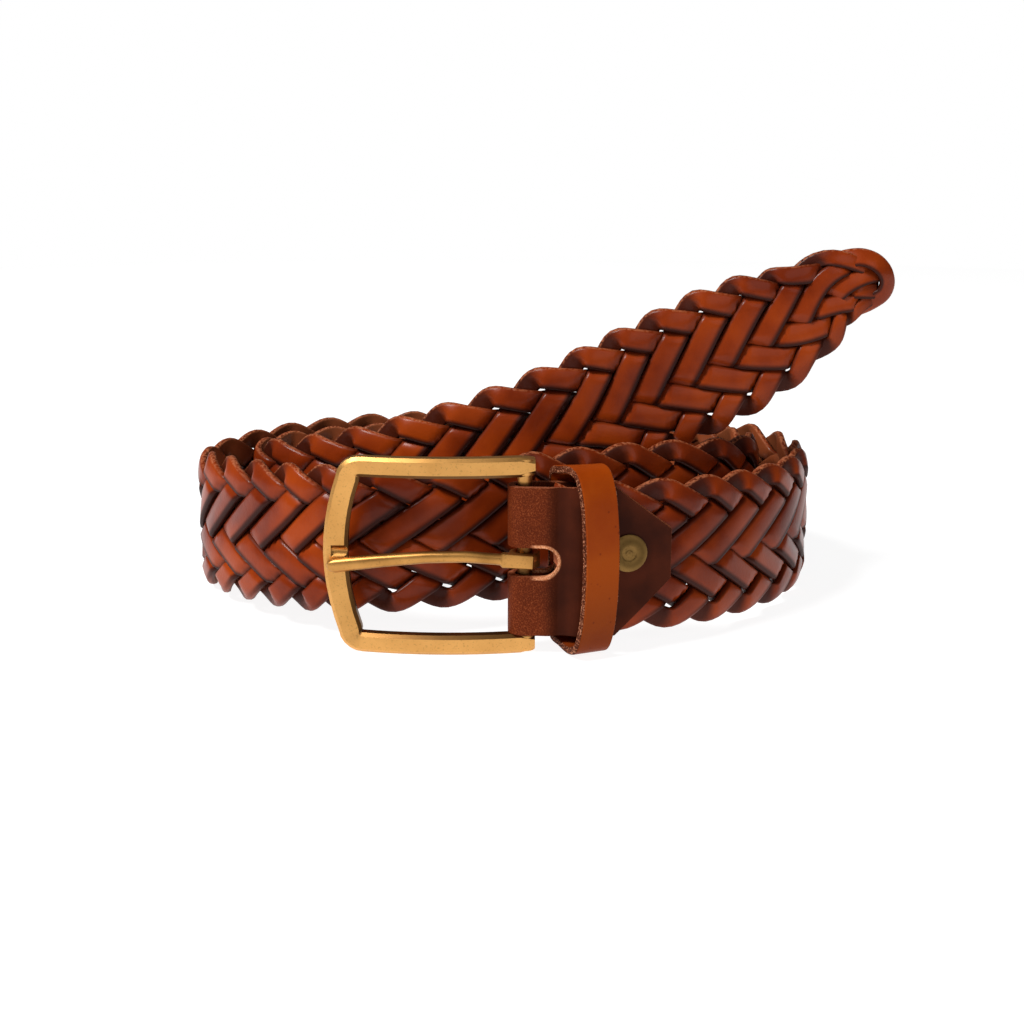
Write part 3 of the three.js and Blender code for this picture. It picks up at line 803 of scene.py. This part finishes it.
def softened(node, name, width, segments, body, shape=None, sharp=32):
    """A copy of a CAD node with joined faces, a finer shape and rounded edges."""
    mesh = nodes[node].data.copy()
    mesh.name = name
    work = bmesh.new()
    work.from_mesh(mesh)
    bmesh.ops.remove_doubles(work, verts=work.verts, dist=SAME_PLACE)
    bmesh.ops.dissolve_limit(work, angle_limit=FLAT_ANGLE, verts=work.verts,
                             edges=work.edges)
    bmesh.ops.dissolve_degenerate(work, dist=TOO_SHORT, edges=work.edges)
    if shape:
        shape(work)
    edges = [e for e in work.edges if len(e.link_faces) == 2
             and e.calc_face_angle(0) > math.radians(sharp)]
    bmesh.ops.bevel(work, geom=edges, offset=width, segments=segments, profile=0.5,
                    affect="EDGES", clamp_overlap=True)
    bmesh.ops.remove_doubles(work, verts=work.verts, dist=SAME_AFTER_BEVEL)
    open_edges = sum(1 for e in work.edges if len(e.link_faces) != 2)
    for f in work.faces:
        f.smooth = True
    work.to_mesh(mesh)
    work.free()
    mesh.materials.clear()
    piece = added(name, mesh)
    weight = piece.modifiers.new("smooth_faces", "WEIGHTED_NORMAL")
    weight.keep_sharp = False
    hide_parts(node)
    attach(piece, body)
    print(name, len(mesh.polygons), "faces, open edges:", open_edges)
    return piece


# %% [markdown]
# The fold's leather is stiff. Beside the bar it was pressed down on the strap, and a
# shallow valley stayed. The mesh is cut into narrow bands there, and their points are
# pushed in along a cosine, so the valley has no edge at either side.

# %% The fold and its valley
VALLEY = hinge.x + 8.4 * MM
VALLEY_REACH = 3.6 * MM
VALLEY_DEPTH = 0.95 * MM
VALLEY_STEPS = 6


def pressed_valley(work):
    """Presses a soft valley across the fold's front, beside the buckle's bar."""
    fronts = []
    for step in range(-VALLEY_STEPS, VALLEY_STEPS + 1):
        here = VALLEY + step / VALLEY_STEPS * VALLEY_REACH
        cut = bmesh.ops.bisect_plane(work, geom=work.verts[:] + work.edges[:] + work.faces[:],
                                     plane_co=(here, 0, 0), plane_no=(1, 0, 0))
        cut_verts = [v for v in cut["geom_cut"] if isinstance(v, bmesh.types.BMVert)]
        fronts.append(min(v.co.y for v in cut_verts))
    for v in work.verts:
        share = (v.co.x - VALLEY) / VALLEY_REACH
        front = fronts[0] + (fronts[-1] - fronts[0]) * (share + 1) / 2
        if abs(share) < 1 and v.co.y < front + VALLEY_DEPTH:
            v.co.y += VALLEY_DEPTH * math.cos(share * math.pi / 2) ** 2


fold = softened("buckle_fold", "folded_leather", 0.25 * MM, 2, "strap",
                pressed_valley)

# %% [markdown]
# The keeper is a plain strip of leather, pulled tight round fold and strap. Its CAD solid
# has the loop and the lean already, so only its edges need a touch.

# %% The keeper
keeper = softened("keeper_loop", "keeper_band", 0.15 * MM, 2, "strap")

# %% [markdown]
# The rivet's cap was turned on a lathe, and has fine rings on its face. Insets of one
# face, each a little further in and a little up or down, make the same steps.

# %% The rivet and its rings
RIVET_PLACE = 22.8 * MM
FACES_OUT = 0.99
RINGS = [(0.35, 0), (0.2, -0.14), (0.75, 0), (0.2, 0.14), (0.6, 0), (0.2, -0.12), (0.55, 0),
         (0.2, 0.12)]


def turned_rings(work):
    """Steps inward over the rivet's front face, ring by ring: (inward, up) in mm."""
    _, _, outward_here, _ = place_at(RIVET_PLACE)
    fronts = [f for f in work.faces if f.normal.dot(outward_here) > FACES_OUT]
    face = max(fronts, key=lambda f: f.calc_center_median().dot(outward_here))
    for inward, up in RINGS:
        bmesh.ops.inset_region(work, faces=[face], thickness=inward * MM, depth=up * MM,
                               use_even_offset=True)


cap = softened("rivet", "ringed_rivet", 0.05 * MM, 2, "strap", turned_rings)

# %% [markdown]
# Frame and prong are castings. Their sections are round already in the CAD model, so the
# bevel has little left to do. The prong's own facets are steep, and only its true corners,
# over 70 degrees, count as edges.

# %% Frame and prong
buckle = softened("buckle_frame", "cast_frame", 0.35 * MM, 3, "frame")
prong = softened("buckle_prong", "cast_prong", 0.2 * MM, 3, "prong",
                 sharp=70)

# %% [markdown]
# The fold is a darker, waxed leather. Where it is rolled round the bar its surface has
# cracked, and lighter speckles show. Its outer cuts are raw, and the slot's rim and walls
# are the lightest part of the belt. All of these places are known in the frame, so the
# masks are distances from them: to the valley, to the rounded end of the slot, and so on.

# %% Fold leather
FOLD_DYE = [(0.36, (0.035, 0.006, 0.002)), (0.5, (0.055, 0.0095, 0.0028)),
            (0.64, (0.075, 0.013, 0.004))]
CRACKED = [(0.42, (0.1, 0.015, 0.003)), (0.54, (0.17, 0.03, 0.007)),
           (0.66, (0.26, 0.06, 0.018))]
FOLD_CUT = [(0.42, (0.2, 0.05, 0.02)), (0.56, (0.42, 0.13, 0.06))]
SLOT_LIP = [(0.4, (0.5, 0.16, 0.06)), (0.56, (0.8, 0.38, 0.2))]
VALLEY_SHADE = (0.02, 0.004, 0.002)
VALLEY_SHADE_REACH = 3 * MM
SLOT_END = hinge.x + 4.1 * MM
SLOT_HALF = 3.4 * MM
POINTED_END = (hinge.x + 24 * MM, hinge.x + 28 * MM)
LEATHER_SHINE = 0.06

fold_leather, tree, shader, patch, fibres = start_material("fold_leather", 3600, 90)
at_x, at_y, at_z = object_parts(tree, "Object")
facing_x, facing_y, facing_z = object_parts(tree, "Normal")
rolled = fade(at_x, VALLEY - 6 * MM, VALLEY + 0.5 * MM)
colour = mixed(tree, rolled * (patch * 0.9 + 0.45), ramp(tree, patch, *FOLD_DYE),
               ramp(tree, fibres, *CRACKED))
valley = fade(((at_x - VALLEY) / VALLEY_SHADE_REACH).do("ABSOLUTE"), 0, 1)
colour = mixed(tree, valley * 0.35, colour, VALLEY_SHADE)
beyond = (at_x - SLOT_END).do("MAXIMUM", 0)
beside = at_z - hinge.z
to_slot = (beyond * beyond + beside * beside).do("SQRT")
slot_rim = (fade(to_slot, SLOT_HALF + 0.4 * MM, SLOT_HALF + 0.9 * MM)
            * spread(at_x, hinge.x + 1 * MM, hinge.x + 3 * MM))
inside = (fade(to_slot, SLOT_HALF - 0.3 * MM, SLOT_HALF)
          * spread(at_y, hinge.y, hinge.y + 1 * MM) * spread(facing_y * -1, 0.2, 0.6))
end_cut = facing_x * spread(at_x, *POINTED_END)
cut = spread(facing_z.do("ABSOLUTE").do("MAXIMUM", end_cut), 0.45, 0.8)
bare = (cut * (fibres * 1.6)).do("MINIMUM", 0.9).do("MAXIMUM", slot_rim)
colour = mixed(tree, bare.do("MAXIMUM", inside), colour, ramp(tree, fibres, *FOLD_CUT))
colour = mixed(tree, slot_rim.do("MAXIMUM", inside), colour, ramp(tree, fibres, *SLOT_LIP))
set_look(tree, shader, colour, patch * 0.15 + 0.38 + rolled * 0.1,
         fibres * (rolled * 0.35 + cut * 0.5 + 0.06), 1.0, 0.3 * MM,
         Specular_IOR_Level=LEATHER_SHINE)
fold.data.materials.append(fold_leather)
print("fold leather:", len(tree.nodes), "nodes")

# %% [markdown]
# The keeper is the warmest and smoothest leather, with a few dark spots, and darker
# towards its foot. Its two cut edges face along the strap, so the strap's direction at
# the keeper, and its own lean, tell the cuts from the face.

# %% Keeper leather
KEEPER_PLACE = 17.2 * MM
KEEPER_LEAN = math.radians(14)
KEEPER_DYE = [(0.34, (0.2, 0.026, 0.0015)), (0.5, (0.3, 0.042, 0.002)),
              (0.66, (0.37, 0.062, 0.003))]
KEEPER_CUT = [(0.44, (0.05, 0.012, 0.005)), (0.52, (0.17, 0.04, 0.016)),
              (0.6, (0.5, 0.22, 0.12))]
KEEPER_FOOT = (0.11, 0.022, 0.006)
DARK_SPOTS = (0.1, 0.014, 0.003)

_, keeper_way, _, _ = place_at(KEEPER_PLACE)
lean = math.atan2(keeper_way.y, keeper_way.x) + KEEPER_LEAN
keeper_leather, tree, shader, patch, fibres = start_material("keeper_leather", 2800, 45)
_, _, at_z = object_parts(tree, "Object")
facing_x, facing_y, _ = object_parts(tree, "Normal")
low = fade(at_z, 2 * MM, 24 * MM)
colour = mixed(tree, low * 0.55, ramp(tree, patch, *KEEPER_DYE), KEEPER_FOOT)
spots = node_of(tree, "ShaderNodeTexVoronoi", {
    "Vector": node_of(tree, "ShaderNodeTexCoord").outputs["Object"], "Scale": 330.0})
spotted = fade(Field(tree, spots.outputs[0]), 0.05, 0.13)
colour = mixed(tree, spotted * 0.5, colour, DARK_SPOTS)
facing_on = facing_x * math.cos(lean) + facing_y * math.sin(lean)
cut = spread(facing_on.do("ABSOLUTE"), 0.45, 0.75)
colour = mixed(tree, cut, colour, ramp(tree, fibres, *KEEPER_CUT))
set_look(tree, shader, colour, patch * 0.15 + 0.3 + cut * 0.3,
         fibres * (cut * 0.9 + 0.12), 1.0, 0.4 * MM, Specular_IOR_Level=LEATHER_SHINE)
keeper.data.materials.append(keeper_leather)
print("keeper leather:", len(tree.nodes), "nodes")


# %% [markdown]
# The frame is satin brass, a little lighter than the prong, and the rivet is older and
# browner. They are one metal in three tones, so one function makes all three: a slow
# change between two tones, with small dark specks where the surface has pits.

# %% Brass
def brass(name, colour, dark, roughness):
    """A brass between two tones, with specks."""
    material, tree, shader, patch, fibres = start_material(name, 2500, 120)
    tone = ramp(tree, patch, (0.3, dark), (0.6, colour))
    specks = spread(fibres, 0.52, 0.64)
    tone = mixed(tree, specks * 0.3, tone, [part * 0.3 for part in dark])
    set_look(tree, shader, tone, patch * 0.12 + roughness, fibres, 0.12, 0.12 * MM,
             Metallic=1)
    return material


def darkened(material, mask, dark):
    """Mixes a dark colour over a material's own, where the mask says so."""
    tree = material.node_tree
    base = tree.nodes["Principled BSDF"].inputs["Base Color"]
    tree.links.new(mixed(tree, mask, base.links[0].from_socket, dark), base)


satin_brass = brass("satin_brass", (0.74, 0.385, 0.115), (0.63, 0.315, 0.088), 0.37)
prong_brass = brass("prong_brass", (0.6, 0.3, 0.085), (0.4, 0.19, 0.05), 0.36)
aged_brass = brass("aged_brass", (0.42, 0.24, 0.075), (0.24, 0.13, 0.04), 0.42)
for piece, material in ((buckle, satin_brass), (prong, prong_brass), (cap, aged_brass)):
    piece.data.materials.append(material)
    print(piece.name, "has", material.name)

# %% [markdown]
# The frame's bar turns inside the leather, and its brass has gone brown with tarnish. The
# faces that look into the window are painted the same brown as shade. The bar is found by
# its place, and the inner faces by their normals: they look towards the middle of the window.

# %% Tarnish on the bar, and painted shade on the window's inner faces
# Brown of tarnish on the bar, also painted on the window's inner faces as shade.
TARNISH_AND_SHADE = (0.12, 0.055, 0.018)
BAR_HALF = (17.8 * MM, 18.4 * MM)
BAR_SIDE = (hinge.x - 4.5 * MM, hinge.x - 3 * MM)
WINDOW_END = (hinge.x - 34 * MM, hinge.x - 30 * MM)

tree = satin_brass.node_tree
at_x, _, at_z = object_parts(tree, "Object")
on_bar = (spread(at_x, *BAR_SIDE)
          * fade((at_z - hinge.z).do("ABSOLUTE"), *BAR_HALF))
# Painted shade: faces that look into the window are darkened as if in shadow.
facing_x, _, facing_z = object_parts(tree, "Normal")
inward_z = facing_z * (at_z - hinge.z).do("SIGN") * -1
inward_x = facing_x * fade(at_x, *WINDOW_END)
inward = spread(inward_z.do("MAXIMUM", inward_x), 0.3, 0.7)
darkened(satin_brass, (on_bar * 0.85).do("MAXIMUM", inward * 0.85), TARNISH_AND_SHADE)
print("satin brass:", len(tree.nodes), "nodes")

# %% [markdown]
# The rivet is darker in fine rings and round its rim. A sine of the distance from the
# cap's centre gives the rings, and a smooth step gives the rim.

# %% Dark rings and rim on the rivet
# Darker colour for the rivet's rings and rim.
RING_AND_RIM_DARK = (0.05, 0.028, 0.008)
RING_PITCH = 1.3 * MM
CAP_RIM = (4.05 * MM, 4.4 * MM)

tree = aged_brass.node_tree
cap_centre = sum((Vector(v) for v in cap.bound_box), Vector()) / 8
where = node_of(tree, "ShaderNodeTexCoord").outputs["Object"]
from_centre = vector_math(tree, "SUBTRACT", where, tuple(cap_centre))
reach = node_of(tree, "ShaderNodeVectorMath", {0: from_centre}, operation="LENGTH")
reach = Field(tree, reach.outputs["Value"])
rings = (reach * (2 * math.pi / RING_PITCH)).do("SINE")
darkened(aged_brass, (rings * 0.14 + 0.14) + spread(reach, *CAP_RIM) * 0.5, RING_AND_RIM_DARK)
print("cap's centre:", tuple(round(c, 4) for c in cap_centre))

# %% [markdown]
# The stage is a pale floor and a white surround. The floor glows by itself, so that the
# shadows stay as faint as in the photograph. The surround is white to the camera but
# lights the belt only weakly, so that the lamps shape the leather.

# %% Floor and surround
AMBIENT = 0.08
FLOOR_RADIUS = 0.9

floor_mesh = bpy.data.meshes.new("floor")
work = bmesh.new()
bmesh.ops.create_circle(work, cap_ends=True, segments=64, radius=FLOOR_RADIUS)
work.to_mesh(floor_mesh)
work.free()
floor = added("floor", floor_mesh)
floor.location.z = cad_box[0][2]
floor_paint = bpy.data.materials.new("floor_paint")
floor_paint.use_nodes = True
paint = floor_paint.node_tree.nodes["Principled BSDF"]
paint.inputs["Base Color"].default_value = (0.3, 0.3, 0.3, 1)
paint.inputs["Roughness"].default_value = 0.9
paint.inputs["Specular IOR Level"].default_value = 0
paint.inputs["Emission Color"].default_value = (1, 1, 1, 1)
paint.inputs["Emission Strength"].default_value = 0.9
floor_mesh.materials.append(floor_paint)

world = bpy.data.worlds.new("surround")
world.use_nodes = True
sky = world.node_tree
background = sky.nodes["Background"]
background.inputs["Color"].default_value = (1, 1, 1, 1)
seen = node_of(sky, "ShaderNodeLightPath").outputs["Is Camera Ray"]
strength = Field(sky, seen) * (1 - AMBIENT) + AMBIENT
sky.links.new(strength.socket, background.inputs["Strength"])
bpy.context.scene.world = world
bpy.context.scene.view_settings.view_transform = "Standard"
print("floor at", round(floor.location.z, 4), "and surround at", AMBIENT)

# %% [markdown]
# Two round lamps light the belt. The strong one stands high on the left, as far forward as
# the camera, and gives each strand its soft highlight. The weak one stands on the right,
# behind the camera, and keeps the dark side of the roll readable.

# %% Lamps
LAMP_AIM = (0, 0, 0.04)


def lamp(name, place, size, power):
    """A round lamp that looks at the middle of the belt."""
    data = bpy.data.lights.new(name, "AREA")
    data.shape = "DISK"
    data.size = size
    data.energy = power
    light = added(name, data)
    light.location = place
    looking = Vector(LAMP_AIM) - Vector(place)
    light.rotation_euler = looking.to_track_quat("-Z", "Y").to_euler()
    print(name, "at", place, "with", power, "W")


lamp("key_lamp", (-0.6, -0.45, 0.9), 0.4, 15)
lamp("fill_lamp", (0.5, -1.0, 0.6), 0.8, 2)

# %% [markdown]
# At the end the CAD model's box from the start is printed.

# %% Size, and the end
print("CAD box:", [[round(c, 4) for c in v] for v in cad_box])
